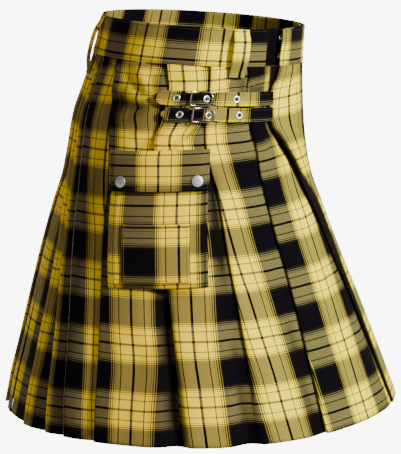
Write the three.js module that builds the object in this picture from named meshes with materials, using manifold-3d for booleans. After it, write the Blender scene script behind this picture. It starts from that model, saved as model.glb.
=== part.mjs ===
// Utility kilt, filled out as on a general figure. Millimetres, +Z up.
// The wearer faces -Y, the wearer's right is -X. The origin is the middle of
// the waist, half way down the waistband.
import * as THREE from 'three';
import Module from 'manifold-3d';

const wasm = await Module();
wasm.setup();
const { Manifold, Mesh: MMesh } = wasm;

// Driving sizes
const BAND_H = 51.5;        // waistband height
const BAND_T = 2.6;       // waistband wall: two cloths and a stiffener
const CLOTH_T = 1.5;      // wall of a single skirt cloth
const STRAP_T = 2.0;      // wall of a doubled strap
const SEAM = 0.3;         // air between sewn pieces
const HEM = 554;          // drop from waist top to hem
const TILT_TOP = -8;      // front of the waist is lower than the back
const TILT_HEM = 10;      // front of the hem is higher than the back
const SAG = 12;            // the hem hangs this much lower at the hips than at front and back
const Z0 = BAND_H / 2;    // height of the waist top over the origin
const UNDER = -6.2;       // how far the under layers lie inside the apron

// drop, half breadth, front depth, back depth
const BODY = [
  [0, 157, 145, 136], [56, 163, 142, 151], [100, 172, 142.5, 167], [134, 180, 143.5, 179],
  [185, 189, 148.5, 188], [220, 195, 156, 195], [253, 202, 168, 206], [322, 218, 193, 226],
  [390, 238, 219, 243], [458, 259, 244, 260], [505, 273, 261, 272], [554, 286.5, 278.5, 281.5],
];
// drops of the skirt's rows
const ROWS = [BAND_H + SEAM + 0.15, 92, 134, 180, 226, 268, 322, 380, 438, 496, HEM];

// front edge of the side skirt = free edge of the apron, by drop
const APRON_EDGE = [[0, 53], [52, 53.5], [95, 60], [122, 60], [161, 50.5], [192, 42.5],
  [232, 37], [267, 33.5], [362, 29.5], [450, 27.5], [554, 26]];

// pleats of one side, from the front to the back: the fold edge by drop
const PLEATS = [
  { name: 'front side', soft: 0, lay: [[52, 4], [134, 8], [300, 16], [554, 22]],
    at: [[52, 75], [126, 71.5], [164, 68], [219, 66.3], [290, 64.6], [354, 63.5], [554, 63.7]] },
  { name: 'by the pocket', soft: 1, lay: [[52, 5], [160, 9], [300, 17], [554, 22]],
    at: [[51, 96.3], [90, 95.1], [150, 94.5], [180, 92.6], [244, 88.4], [336, 86.7], [401, 86], [481, 84.9], [554, 84.9]] },
  { name: 'under the pocket', soft: 1, lay: [[52, 4], [200, 10], [300, 16], [554, 20]],
    at: [[52, 120], [92, 116], [125, 116.5], [152, 119], [200, 116], [346, 110.6], [384, 110], [448, 108], [480, 107], [554, 105.7]] },
  { name: 'behind the pocket', soft: 0, lay: [[52, 5], [220, 9], [554, 15]],
    at: [[56, 153], [83, 150.5], [125, 146], [170, 143.5], [265, 139.5], [356, 136.2], [474, 134], [554, 133.3]] },
  { name: 'stitched', soft: 0, lay: [[52, 4], [220, 8], [554, 14]],
    at: [[60, 166], [114, 164.5], [198, 162.5], [235, 160], [271, 156.6], [344, 151.8], [399, 149.1], [481, 146], [554, 144]] },
  { name: 'narrow', soft: 0, lay: [[52, 3], [220, 6], [554, 9]],
    at: [[56, 172.5], [213, 169.3], [252, 165.4], [300, 161.3], [338, 159], [377, 157], [429, 155], [482, 153.3], [554, 151.5]] },
  { name: 'back box', soft: 0, lay: [[52, 5], [220, 8], [554, 18]],
    at: [[56, 178.3], [203, 175.8], [235, 172.4], [252, 170.4], [290, 167], [318, 165.5], [359, 164.5], [554, 163.6]] },
];
// how far the soft pleats have opened, by drop
const OPEN = [[0, 0], [270, 0], [380, 0.45], [470, 0.8], [554, 1]];
// gap from layer to layer of a pleat, by drop
const LAYER = [[0, 2.1], [134, 2.2], [300, 2.6], [554, 3.8]];

const STRAPS = [
  { drop: 95.5, tip: 122.7, root: 58.6, buckle: 99.2, holes: [111.0, 96.6, 80.9], wide: 18.4 },
  { drop: 117, tip: 117.2, root: 58.6, buckle: 97.2, holes: [108.0, 94.6, 78.7], wide: 18.4 },
];
const LOOPS = [82, 180, 278];

// Curves and points of the filled-out figure
const rad = (d) => (d * Math.PI) / 180;
function look(table, s, col = 1) {
  const n = table.length;
  if (s <= table[0][0]) return table[0][col];
  if (s >= table[n - 1][0]) return table[n - 1][col];
  let i = 0;
  while (table[i + 1][0] < s) i++;
  const x0 = table[i][0];
  const x1 = table[i + 1][0];
  const y0 = table[i][col];
  const y1 = table[i + 1][col];
  const d = (y1 - y0) / (x1 - x0);
  const dl = i > 0 ? (y0 - table[i - 1][col]) / (x0 - table[i - 1][0]) : d;
  const dr = i < n - 2 ? (table[i + 2][col] - y1) / (table[i + 2][0] - x1) : d;
  const m0 = dl * d <= 0 ? 0 : (2 * dl * d) / (dl + d);
  const m1 = dr * d <= 0 ? 0 : (2 * dr * d) / (dr + d);
  const h = x1 - x0;
  const t = (s - x0) / h;
  const t2 = t * t;
  const t3 = t2 * t;
  return y0 * (2 * t3 - 3 * t2 + 1) + m0 * h * (t3 - 2 * t2 + t) + y1 * (3 * t2 - 2 * t3) + m1 * h * (t3 - t2);
}
const smooth = (t) => { const c = Math.min(1, Math.max(0, t)); return c * c * (3 - 2 * c); };

// point of the filled-out figure: angle from the front to the wearer's right, drop, offset outward
function plan(phi, s) {
  const a = look(BODY, s, 1);
  const bf = look(BODY, s, 2);
  const bb = look(BODY, s, 3);
  const b = (bf + bb) / 2;
  const p = rad(phi);
  return { x: -a * Math.sin(p), y: (bb - bf) / 2 - b * Math.cos(p), a, b };
}
function perDeg(phi, s) {
  const q = plan(phi, s);
  const p = rad(phi);
  return (Math.hypot(q.a * Math.cos(p), q.b * Math.sin(p)) * Math.PI) / 180;
}
function height(phi, s) {
  const c = Math.cos(rad(phi));
  return Z0 - s + (TILT_TOP + ((TILT_HEM - TILT_TOP) * s) / HEM) * c + SAG * c * c * (s / HEM) ** 2;
}
function on(phi, s, off = 0) {
  const q = plan(phi, s);
  const p = rad(phi);
  const nx = -Math.sin(p) / q.a;
  const ny = -Math.cos(p) / q.b;
  const n = Math.hypot(nx, ny);
  return new THREE.Vector3(q.x + (off * nx) / n, q.y + (off * ny) / n, height(phi, s));
}
// local frame on the figure: along (towards the front), up, out
function frame(phi, s, off = 0) {
  const o = on(phi, s, off);
  const du = on(phi - 0.5, s).sub(on(phi + 0.5, s)).normalize();
  const dv = on(phi, s - 2).sub(on(phi, s + 2)).normalize();
  const out = new THREE.Vector3().crossVectors(dv, du).negate();
  if (out.dot(on(phi, s, 5).sub(on(phi, s))) < 0) out.negate();
  const up = dv.clone().addScaledVector(out, -dv.dot(out)).normalize();
  out.normalize();
  return { o, du, up, out, at: (u, v, w) => o.clone().addScaledVector(du, u).addScaledVector(up, v).addScaledVector(out, w) };
}

// Closed meshes
function geom(verts, tris) {
  const g = new THREE.BufferGeometry();
  const arr = new Float32Array(verts.length * 3);
  verts.forEach((v, i) => { arr[3 * i] = v.x; arr[3 * i + 1] = v.y; arr[3 * i + 2] = v.z; });
  g.setAttribute('position', new THREE.BufferAttribute(arr, 3));
  let vol = 0;
  const c = new THREE.Vector3();
  tris.forEach(([i, j, k]) => { c.crossVectors(verts[j], verts[k]); vol += verts[i].dot(c); });
  const out = vol < 0 ? tris.map(([i, j, k]) => [i, k, j]) : tris;
  g.setIndex(out.flat());
  return g;
}
// two grids of the same size, one each side of the cloth, closed at all edges
function slab(outer, inner) {
  const ni = outer.length;
  const nj = outer[0].length;
  const verts = [];
  const id = (side, i, j) => side * ni * nj + i * nj + j;
  outer.forEach((r) => verts.push(...r));
  inner.forEach((r) => verts.push(...r));
  const tris = [];
  const quad = (a, b, c, d) => { tris.push([a, b, c], [a, c, d]); };
  for (let i = 0; i < ni - 1; i++) {
    for (let j = 0; j < nj - 1; j++) {
      quad(id(0, i, j), id(0, i, j + 1), id(0, i + 1, j + 1), id(0, i + 1, j));
      quad(id(1, i, j), id(1, i + 1, j), id(1, i + 1, j + 1), id(1, i, j + 1));
    }
  }
  for (let j = 0; j < nj - 1; j++) {
    quad(id(0, 0, j), id(1, 0, j), id(1, 0, j + 1), id(0, 0, j + 1));
    quad(id(0, ni - 1, j), id(0, ni - 1, j + 1), id(1, ni - 1, j + 1), id(1, ni - 1, j));
  }
  for (let i = 0; i < ni - 1; i++) {
    quad(id(0, i, 0), id(0, i + 1, 0), id(1, i + 1, 0), id(1, i, 0));
    quad(id(0, i, nj - 1), id(1, i, nj - 1), id(1, i + 1, nj - 1), id(0, i + 1, nj - 1));
  }
  return geom(verts, tris);
}
// a level section given as (angle, offset) pairs, made into a wall of thickness t
function wallRow(path, s, t) {
  const pts = path.map(([phi, off]) => on(phi, s, off));
  const outer = [];
  const inner = [];
  pts.forEach((p, i) => {
    const a = pts[Math.max(0, i - 1)];
    const b = pts[Math.min(pts.length - 1, i + 1)];
    const t0 = new THREE.Vector2(p.x - a.x, p.y - a.y);
    const t1 = new THREE.Vector2(b.x - p.x, b.y - p.y);
    if (t0.length() < 1e-6) t0.copy(t1);
    if (t1.length() < 1e-6) t1.copy(t0);
    t0.normalize();
    t1.normalize();
    const n0 = new THREE.Vector2(t0.y, -t0.x);
    const n1 = new THREE.Vector2(t1.y, -t1.x);
    const m = n0.clone().add(n1).normalize();
    const k = Math.min(1.35, 1 / Math.max(0.5, m.dot(n0)));
    m.multiplyScalar((k * t) / 2);
    outer.push(new THREE.Vector3(p.x + m.x, p.y + m.y, p.z));
    inner.push(new THREE.Vector3(p.x - m.x, p.y - m.y, p.z));
  });
  return [outer, inner];
}
function wall(rows, t) {
  const o = [];
  const n = [];
  rows.forEach(({ s, path }) => {
    const [a, b] = wallRow(path, s, t);
    o.push(a);
    n.push(b);
  });
  return slab(o, n);
}
// tube through points, closed or open
function tube(pts, r, seg = 6, closed = false) {
  const n = pts.length;
  const verts = [];
  const tris = [];
  let ref = null;
  for (let i = 0; i < n; i++) {
    const a = closed ? pts[(i + n - 1) % n] : pts[Math.max(0, i - 1)];
    const b = closed ? pts[(i + 1) % n] : pts[Math.min(n - 1, i + 1)];
    const tan = b.clone().sub(a).normalize();
    if (!ref) {
      ref = Math.abs(tan.z) < 0.8 ? new THREE.Vector3(0, 0, 1) : new THREE.Vector3(0, 1, 0);
    }
    const e1 = ref.clone().addScaledVector(tan, -ref.dot(tan)).normalize();
    ref = e1.clone();
    const e2 = new THREE.Vector3().crossVectors(tan, e1);
    for (let k = 0; k < seg; k++) {
      const w = (2 * Math.PI * k) / seg;
      verts.push(pts[i].clone().addScaledVector(e1, r * Math.cos(w)).addScaledVector(e2, r * Math.sin(w)));
    }
  }
  const m = closed ? n : n - 1;
  for (let i = 0; i < m; i++) {
    const i2 = (i + 1) % n;
    for (let k = 0; k < seg; k++) {
      const k2 = (k + 1) % seg;
      tris.push([i * seg + k, i2 * seg + k, i2 * seg + k2], [i * seg + k, i2 * seg + k2, i * seg + k2]);
    }
  }
  if (!closed) {
    const c0 = verts.push(pts[0].clone()) - 1;
    const c1 = verts.push(pts[n - 1].clone()) - 1;
    for (let k = 0; k < seg; k++) {
      const k2 = (k + 1) % seg;
      tris.push([c0, k, k2], [c1, (n - 1) * seg + k2, (n - 1) * seg + k]);
    }
  }
  return geom(verts, tris);
}
// turned solid: profile of (radius, height) pairs round the frame's outward axis
function turned(f, prof, seg, ring) {
  const verts = [];
  const tris = [];
  const n = prof.length;
  for (let k = 0; k < seg; k++) {
    const w = (2 * Math.PI * k) / seg;
    prof.forEach(([r, h]) => verts.push(f.at(r * Math.cos(w), r * Math.sin(w), h)));
  }
  const m = ring ? n : n - 1;
  for (let k = 0; k < seg; k++) {
    const k2 = (k + 1) % seg;
    for (let i = 0; i < m; i++) {
      const i2 = (i + 1) % n;
      tris.push([k * n + i, k2 * n + i, k2 * n + i2], [k * n + i, k2 * n + i2, k * n + i2]);
    }
  }
  if (!ring) {
    const c0 = verts.push(f.at(0, 0, prof[0][1])) - 1;
    const c1 = verts.push(f.at(0, 0, prof[n - 1][1])) - 1;
    for (let k = 0; k < seg; k++) {
      const k2 = (k + 1) % seg;
      tris.push([c0, k2 * n, k * n], [c1, k * n + n - 1, k2 * n + n - 1]);
    }
  }
  return geom(verts, tris);
}
function toManifold(g) {
  return new Manifold(new MMesh({
    numProp: 3,
    vertProperties: new Float32Array(g.attributes.position.array),
    triVerts: new Uint32Array(g.index.array),
  }));
}
function fromManifold(m) {
  const q = m.getMesh();
  const g = new THREE.BufferGeometry();
  g.setAttribute('position', new THREE.BufferAttribute(new Float32Array(q.vertProperties), 3));
  g.setIndex(new THREE.BufferAttribute(new Uint32Array(q.triVerts), 1));
  return g;
}
function mirrored(g) {
  const h = g.clone();
  const p = h.attributes.position;
  for (let i = 0; i < p.count; i++) p.setX(i, -p.getX(i));
  const ix = Array.from(h.index.array);
  for (let i = 0; i < ix.length; i += 3) [ix[i + 1], ix[i + 2]] = [ix[i + 2], ix[i + 1]];
  h.setIndex(ix);
  return h;
}

// The pleated sides
function sidePath(s) {
  const g = look(LAYER, s);
  const edge = look(APRON_EDGE, s);
  const deep = UNDER + 2.2 * smooth((s - 100) / 300);
  const path = [];
  const mm = (phi, d) => d / perDeg(phi, s);
  path.push([edge - 9, deep], [edge - 4, deep], [edge + 0.5, deep + 0.8]);
  path.push([edge + 4.5, deep * 0.3], [edge + 8.5, 0]);
  PLEATS.forEach((pl, n) => {
    const e = look(pl.at, s);
    const lay = look(pl.lay, s);
    const u = 1 / perDeg(e, s);
    const tip = e - (g / 2 + CLOTH_T / 2) * u;
    const next = n < PLEATS.length - 1 ? look(PLEATS[n + 1].at, s) : 180;
    const nextLay = n < PLEATS.length - 1 ? look(PLEATS[n + 1].lay, s) : 0;
    const last = n === PLEATS.length - 1;
    const room = (next - e) / u - nextLay - 6;
    const rise = last ? 0 : Math.max(3, Math.min(26, room));
    const fold = [
      [tip - lay * u, 0], [tip, 0], [tip + (g / 2) * u, -g / 2], [tip, -g],
      [tip - lay * u, -g], [tip - (lay + g / 2) * u, -1.5 * g], [tip - lay * u, -2 * g],
      [e + 1.0 * u, -2 * g],
    ];
    const w = pl.soft * look(OPEN, s);
    if (w > 0) {
      const d = 10 + 4 * smooth((s - 380) / 170);
      const open = [
        [e - 34 * u, 0], [e - 12 * u, -0.6], [e - 5 * u, -2.2], [e - 0.5 * u, -d * 0.45],
        [e + 4 * u, -d * 0.72], [e + 9 * u, -d * 0.9], [e + 15 * u, -d], [e + 23 * u, -d * 0.94],
      ];
      fold.forEach((q, i) => { q[0] += (open[i][0] - q[0]) * w; q[1] += (open[i][1] - q[1]) * w; });
    }
    path.push(...fold);
    if (!last) {
      const r0 = fold[7][0];
      const end = e + (rise + 14 * w) * u;
      path.push([r0 + (end - r0) * 0.5, fold[7][1] * 0.42], [end, 0]);
      if (room - rise > 14) path.push([(end + next - (nextLay + 3) * u) / 2, 0]);
      else path.push([end + 0.35 * (next - (nextLay + 3) * u - end), 0]);
    } else {
      path.push([180 - SEAM * u, -2 * g]);
    }
  });
  return path;
}

const parts = [];
const add = (name, g) => parts.push([name, g]);
const pair = (name, g) => { add(`${name}_right`, g); add(`${name}_left`, mirrored(g)); };

pair('skirt', wall(ROWS.map((s) => ({ s, path: sidePath(s) })), CLOTH_T));

// apron: the flat front panel, from free edge to sewn edge
const span = (a, b, n) => Array.from({ length: n + 1 }, (_, i) => a + ((b - a) * i) / n);
add('apron_front', wall(ROWS.map((s) => {
  const e = look(APRON_EDGE, s);
  return { s, path: span(e, -e, 12).map((phi) => [phi, -0.5 * (1 + Math.sin(s / 38)) * smooth((Math.abs(phi) - e + 8) / 8)]) };
}), CLOTH_T));
add('under_apron', wall(ROWS.map((s) => {
  const e = look(APRON_EDGE, s) - 9;
  const deep = UNDER + 2.2 * smooth((s - 100) / 300);
  return { s, path: span(e - 2 * SEAM / perDeg(e, s), -e + 3, 8).map((phi) => [phi, deep]) };
}), CLOTH_T));

// waistband: from under the apron round the back to the left hip, then the apron's own band
const BAND_ROWS = [0, BAND_H / 3, (2 * BAND_H) / 3, BAND_H];
const bandPath = [];
span(-44, 44, 11).forEach((phi) => bandPath.push([phi, UNDER]));
bandPath.push([48, UNDER - 1.2], [53.5, UNDER - 6.5], [58, UNDER - 8.5], [61.2, UNDER - 5], [63.6, -3.4], [65.4, -0.5]);
span(67, 303, 32).forEach((phi) => bandPath.push([phi, 0]));
add('waistband', wall(BAND_ROWS.map((s) => ({ s, path: bandPath })), BAND_T));
add('apron_band', wall(BAND_ROWS.map((s) => {
  const a = -57 + (2 * SEAM) / perDeg(-57, s);
  return { s, path: span(a, 52.6, 15).map((phi) => [phi, phi > 45 ? 0.7 * Math.sin(s / 9) : 0]) };
}), BAND_T));

// belt loops: doubled strip, sewn on at both ends, standing off between them
LOOPS.forEach((phi, n) => {
  const drops = n === 1 ? [1, 6, 12, 20, 30, 41, 52, 62, 69, 74, 79] : [1, 5, 9, 14, 23, 32, 41, 49, 55, 60, 66];
  const k = n === 1 ? 1.1 : 1.22;
  const offs = [0, 0.2, 2.6, 5.6, 6.6, 6.8, 6.4, 4.8, 2.0, 0, 0].map((v) => 3 + v * k);
  const outer = [];
  const inner = [];
  drops.forEach((s, i) => {
    const row = [];
    const row2 = [];
    [-11, 0, 11].forEach((u) => {
      const p = phi - u / perDeg(phi, 30);
      row.push(on(p, s, offs[i] + 0.8));
      row2.push(on(p, s, offs[i] - 0.8));
    });
    outer.push(row);
    inner.push(row2);
  });
  add(`belt_loop_${['right', 'back', 'left'][n]}`, slab(outer, inner));
});

// Cargo pocket on each side
// drop of its top and foot at the back and the front edge; angle of those edges at the top and the foot
const POCKET = { top: [172, 163], foot: [350, 344], back: [140.2, 132.6], front: [93.3, 95.6] };
function pocketPlace(u, v) {
  // u 0..1 from the back edge to the front edge, v 0..1 down
  const top = POCKET.top[0] + (POCKET.top[1] - POCKET.top[0]) * u;
  const foot = POCKET.foot[0] + (POCKET.foot[1] - POCKET.foot[0]) * u;
  const b = POCKET.back[0] + (POCKET.back[1] - POCKET.back[0]) * v;
  const f = POCKET.front[0] + (POCKET.front[1] - POCKET.front[0]) * v;
  return [b + (f - b) * u, top + (foot - top) * v];
}
function pocketPoint(u, v, off) {
  const [phi, s] = pocketPlace(u, v);
  return on(phi, s, off);
}
function pad(us, vs, lift, t) {
  const side = (k) => vs.map((v) => us.map((u) => pocketPoint(u, v, lift(u, v) + (k * t) / 2)));
  return slab(side(1), side(-1));
}
const BASE = CLOTH_T / 2 + SEAM + CLOTH_T / 2 + 0.3;
const bulge = (u, v) => BASE + 5.2 * smooth(Math.min(u, 1 - u) / 0.07) * smooth((1 - v) / 0.05);
pair('pocket_body', pad(span(0, 1, 14), [...span(0.06, 0.94, 9), 0.97, 1], bulge, CLOTH_T));
pair('pocket_patch', pad(span(0.178, 0.824, 8), span(0.53, 0.955, 4), () => BASE + 5.2 + CLOTH_T + SEAM + 0.15, CLOTH_T));
pair('pocket_flap', pad(span(-0.02, 1.015, 14), span(-0.012, 0.285, 5),
  (u, v) => BASE + (5.2 + CLOTH_T + SEAM + 0.55) * smooth((v + 0.03) / 0.075)
    * (0.35 + 0.65 * smooth(Math.min(u + 0.02, 1.015 - u) / 0.09)) + 0.9 * smooth((v - 0.2) / 0.08) + 1.3 * (1 - smooth((v + 0.03) / 0.1)), CLOTH_T));
// snap caps on the flap
const cap = [[7.7, 0], [7.9, 0.6], [7.0, 1.7], [4.2, 2.3]];
[[0.143, 'back'], [0.895, 'front']].forEach(([u, name]) => {
  const [phi, s] = pocketPlace(u, 0.215);
  pair(`pocket_snap_${name}`, turned(frame(phi, s, BASE + 5.2 + CLOTH_T * 2 + 1.75 - (u > 0.5 ? 1.0 : 0.7)), cap, 12, false));
});
// snap studs between the waistband and the apron's band
[[13, 'upper'], [38, 'lower']].forEach(([s, name]) => {
  add(`waist_snap_${name}`, turned(frame(50.4, s, UNDER - 2 + BAND_T / 2 + 0.85), [[5.4, 0], [5.4, 0.8], [3.2, 1.1], [3.2, 3.2]], 12, false));
});

// Straps, eyelets and buckles
const LOW = CLOTH_T / 2 + SEAM + STRAP_T / 2 + 0.28;
const WIRE = 0.95;
const ROLLER = 1.7;        // sleeve on the buckle's straight bar
const LEAN = 0.225;        // the hip leans out by this much for each mm of drop
function strapOff(d) {
  // d = distance in mm from the buckle's middle bar, towards the front
  const base = LOW + 1.25 * smooth((8 - d) / 12);
  return base + (7.0 - base) * smooth(1 - Math.abs(d - 1) / 12.5);
}
STRAPS.forEach((st, n) => {
  const tag = ['upper', 'lower'][n];
  const u = perDeg(st.buckle, st.drop);
  const stops = [];
  [0, 4, 9, 15, 22, 29, 37].forEach((d) => stops.push(st.tip - d / u));
  const back = (st.buckle - stops[stops.length - 1]) * u;
  [-13, -9, -5, -1, 3, 7, 11, 15].forEach((d) => { if (d > back + 2) stops.push(st.buckle - d / u); });
  span(st.buckle - 24 / u, st.root, 8).forEach((phi) => stops.push(phi));
  const outer = [];
  const inner = [];
  stops.forEach((phi) => {
    const d = (st.buckle - phi) * u;
    const off = strapOff(d);
    const fromTip = (st.tip - phi) * u;
    const pinch = 1.65 * smooth((26 - Math.abs(d)) / 10);
    const half = (st.wide / 2 - pinch) * Math.min(1, 0.22 + (0.78 * fromTip) / 11);
    const a = [];
    const b = [];
    [-1, 0, 1].forEach((k) => {
      a.push(on(phi, st.drop + k * half - LEAN * off, off + STRAP_T / 2));
      b.push(on(phi, st.drop + k * half - LEAN * off, off - STRAP_T / 2));
    });
    outer.push(a);
    inner.push(b);
  });
  let body = toManifold(slab(outer, inner));
  st.holes.forEach((phi) => {
    const d = (st.buckle - phi) * u;
    const f = frame(phi, st.drop - LEAN * strapOff(d), strapOff(d));
    body = body.subtract(toManifold(turned(f, [[2.9, -7], [2.9, 7]], 10, false)));
  });
  pair(`strap_${tag}`, fromManifold(body));
  st.holes.forEach((phi, i) => {
    const d = (st.buckle - phi) * u;
    const lift = i === 1 ? 0.75 : 0;
    const slope = (strapOff(d + 4) - strapOff(d - 4)) / 8;
    const f = frame(phi, st.drop - LEAN * strapOff(d), strapOff(d));
    const du = f.du.clone().addScaledVector(f.out, slope).normalize();
    const out = f.out.clone().addScaledVector(f.du, -slope).normalize();
    const g = { at: (x, y, z) => f.o.clone().addScaledVector(du, x).addScaledVector(f.up, y).addScaledVector(out, z) };
    pair(`eyelet_${tag}_${i + 1}`, turned(g, [[2.6, 1.35 + lift], [5.2, 1.35 + lift], [4.6, 2.2 + lift], [3.2, 2.2 + lift]], 10, true));
  });
  // frame of the buckle: straight bar at the back, round at the front
  const f = frame(st.buckle, st.drop, 0);
  const high = LOW + STRAP_T / 2 + SEAM + WIRE + 1.0;
  const mid = CLOTH_T / 2 + SEAM + 1.0 + SEAM + WIRE + 0.35;
  const ring = [];
  const rear = high + 1.3;
  [[-13, -8.9, rear], [-13, 0, rear], [-13, 8.9, rear], [-11.6, 9.6, rear], [-6, 9.6, mid + 1.2], [0, 9.6, mid], [6, 9.6, mid + 0.8],
    [11, 9.2, high], [14.8, 6.2, high], [16.6, 0, high], [14.8, -6.2, high], [11, -9.2, high],
    [6, -9.6, mid + 0.8], [0, -9.6, mid], [-6, -9.6, mid + 1.2], [-11.6, -9.6, rear]].forEach(([x, y, z]) => ring.push(f.at(x, y, z)));
  let buckle = toManifold(tube(ring, WIRE, 6, true));
  buckle = buckle.add(toManifold(tube([f.at(-13, -7.9, rear), f.at(-13, 7.9, rear)], ROLLER, 6)));
  buckle = buckle.add(toManifold(tube([f.at(0, -9.6, mid), f.at(0, 9.6, mid)], WIRE * 0.9, 6)));
  pair(`buckle_${tag}`, fromManifold(buckle));
  // prong: up through the middle eyelet, over the round side
  const hd = (st.buckle - st.holes[1]) * u;
  const hz = strapOff(hd);
  pair(`prong_${tag}`, tube([f.at(hd - 1.6, 0, hz - 2.2), f.at(hd - 0.2, 0, hz + 0.4), f.at(hd + 2.4, 0, hz + 3.0),
    f.at(hd + 5, 0, hz + 3.3), f.at(18.4, 0, high + WIRE + 1.35)], 0.85, 6));
  // tab that holds the middle bar, sewn to the skirt behind the buckle
  const tabPath = [[-22, CLOTH_T / 2 + SEAM + 0.53], [-9, CLOTH_T / 2 + SEAM + 0.53], [-2.6, CLOTH_T / 2 + SEAM + 0.53],
    [0.6, CLOTH_T / 2 + SEAM + 0.53]];
  const to = [];
  const tn = [];
  tabPath.forEach(([x, w]) => {
    const phi = st.buckle - x / u;
    const a = [];
    const b = [];
    [-7.2, 0, 7.2].forEach((y) => { a.push(on(phi, st.drop + y, w + 0.4)); b.push(on(phi, st.drop + y, w - 0.4)); });
    to.push(a);
    tn.push(b);
  });
  pair(`buckle_tab_${tag}`, slab(to, tn));
});

const CLOTH = new THREE.MeshStandardMaterial({ color: 0xb79a3a, roughness: 0.9 });
const METAL = new THREE.MeshStandardMaterial({ color: 0xb9b9bd, metalness: 0.9, roughness: 0.3 });
const group = new THREE.Group();
group.name = 'utility_kilt';
parts.forEach(([name, g]) => {
  g.computeVertexNormals();
  const metal = /snap|buckle_(upper|lower)|prong|eyelet/.test(name);
  const mesh = new THREE.Mesh(g, metal ? METAL : CLOTH);
  mesh.name = name;
  group.add(mesh);
});
export default group;
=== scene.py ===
# Utility kilt in a yellow and black check, filled out as worn, seen from the wearer's right.
# Lengths are millimetres until a mesh is made. The wearer faces -Y, the wearer's right is -X.
# Angles run in degrees from the front to the wearer's right. A drop is measured down from the waist's edge.
import math

import bmesh
import bpy
import numpy as np
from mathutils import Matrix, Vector


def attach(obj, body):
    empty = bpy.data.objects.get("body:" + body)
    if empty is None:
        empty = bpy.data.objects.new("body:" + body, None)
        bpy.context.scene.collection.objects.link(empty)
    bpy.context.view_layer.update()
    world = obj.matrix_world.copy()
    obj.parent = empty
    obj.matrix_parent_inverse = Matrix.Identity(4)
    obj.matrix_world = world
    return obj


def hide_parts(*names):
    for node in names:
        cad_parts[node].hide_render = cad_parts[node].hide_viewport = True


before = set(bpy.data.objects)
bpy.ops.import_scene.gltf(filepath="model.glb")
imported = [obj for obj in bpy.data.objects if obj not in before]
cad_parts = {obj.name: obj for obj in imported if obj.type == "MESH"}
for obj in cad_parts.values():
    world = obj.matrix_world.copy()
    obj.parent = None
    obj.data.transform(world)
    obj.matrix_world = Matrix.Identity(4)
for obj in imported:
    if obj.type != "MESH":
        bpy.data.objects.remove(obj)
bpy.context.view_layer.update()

# Sizes of the kilt
BAND_H = 51.5           # waistband's height
BAND_T = 2.6            # and its wall
CLOTH_T = 1.5           # wall of a single cloth
LOOP_T = 1.6            # belt loop's wall
TAB_T = 0.8             # wall of a buckle's tab
STRAP_T = 2.0           # strap's wall
STRAP_WIDE = 18.4
SEWN = 0.3              # gap between cloths that are sewn together
HEM = 554               # drop of the hem
TILT_TOP = -8           # how far the waist's edge lies higher at the front than at the side
TILT_HEM = 10           # the same at the hem
SAG = 12                # how far the hem is lifted at the front and the back
UNDER = -6.2            # where the under apron lies
UNDER_EASE = 2.2        # how much nearer it comes towards the hem
LEAN = 0.225            # how much a raised strap moves up, by its lift
WIRE = 0.95             # radius of a buckle's wire
ROLLER = 1.7            # radius of the sleeve on its bar
PRONG = 0.85            # radius of its prong
ROWS = 84               # rows of faces down a pleated side
MIRROR = np.array([-1.0, 1.0, 1.0])
SIDES = (("right", False), ("left", True))

# the filled-out figure: drop, half breadth, front depth, back depth
BODY = [
    (0, 157, 145, 136), (56, 163, 142, 151), (100, 172, 142.5, 167), (134, 180, 143.5, 179),
    (185, 189, 148.5, 188), (220, 195, 156, 195), (253, 202, 168, 206), (322, 218, 193, 226),
    (390, 238, 219, 243), (458, 259, 244, 260), (505, 273, 261, 272), (554, 286.5, 278.5, 281.5),
]
# the front apron's edge: drop, angle
APRON_EDGE = [
    (0, 53), (52, 53.5), (95, 60), (122, 60), (161, 50.5), (192, 42.5),
    (232, 37), (267, 33.5), (362, 29.5), (450, 27.5), (554, 26),
]
# pleats of one side from front to back: whether it opens towards the hem, depth of its lay by drop,
# angle of its edge by drop, and where in the check its edge lies, in mm by drop
PLEATS = [
    (0, [(52, 4), (134, 8), (300, 16), (554, 22)],
     [(52, 75), (126, 71.5), (164, 68), (219, 66.3), (290, 64.6), (354, 63.5), (554, 63.7)],
     [(60, -4), (227, -11), (316, -15), (400, -19), (482, -27), (554, -33)]),
    (1, [(52, 5), (160, 9), (300, 17), (554, 22)],
     [(51, 96.3), (90, 95.1), (150, 94.5), (180, 92.6), (244, 88.4), (336, 86.7), (401, 86),
      (481, 84.9), (554, 84.9)],
     [(52, 62), (195, 57), (289, 48), (375, 37), (456, 28), (554, 15)]),
    (1, [(52, 4), (200, 10), (300, 16), (554, 20)],
     [(52, 120), (92, 116), (125, 116.5), (152, 119), (200, 116), (346, 110.6), (384, 110),
      (448, 108), (480, 107), (554, 105.7)],
     [(52, 34), (160, 34), (290, 24), (376, 27), (457, 33), (554, 34)]),
    (0, [(52, 5), (220, 9), (554, 15)],
     [(56, 153), (83, 150.5), (125, 146), (170, 143.5), (265, 139.5), (356, 136.2), (474, 134),
      (554, 133.3)],
     [(52, 8), (294, 9), (381, 6), (465, -1), (554, -1)]),
    (0, [(52, 4), (220, 8), (554, 14)],
     [(60, 166), (114, 164.5), (198, 162.5), (235, 160), (271, 156.6), (344, 151.8), (399, 149.1),
      (481, 146), (554, 144)],
     [(52, 4), (213, 0), (299, -8), (554, -10)]),
    (0, [(52, 3), (220, 6), (554, 9)],
     [(56, 172.5), (213, 169.3), (252, 165.4), (300, 161.3), (338, 159), (377, 157), (429, 155),
      (482, 153.3), (554, 151.5)],
     [(56, 78), (552, 78)]),
    (0, [(52, 5), (220, 8), (554, 18)],
     [(56, 178.3), (203, 175.8), (235, 172.4), (252, 170.4), (290, 167), (318, 165.5), (359, 164.5),
      (554, 163.6)],
     [(56, 63), (552, 63)]),
]
LIGHT_PLEAT = 4         # the pleat whose edge is sewn with pale thread
LAST_PHASE = 56.0       # where in the check the cloth behind the last pleat ends
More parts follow.
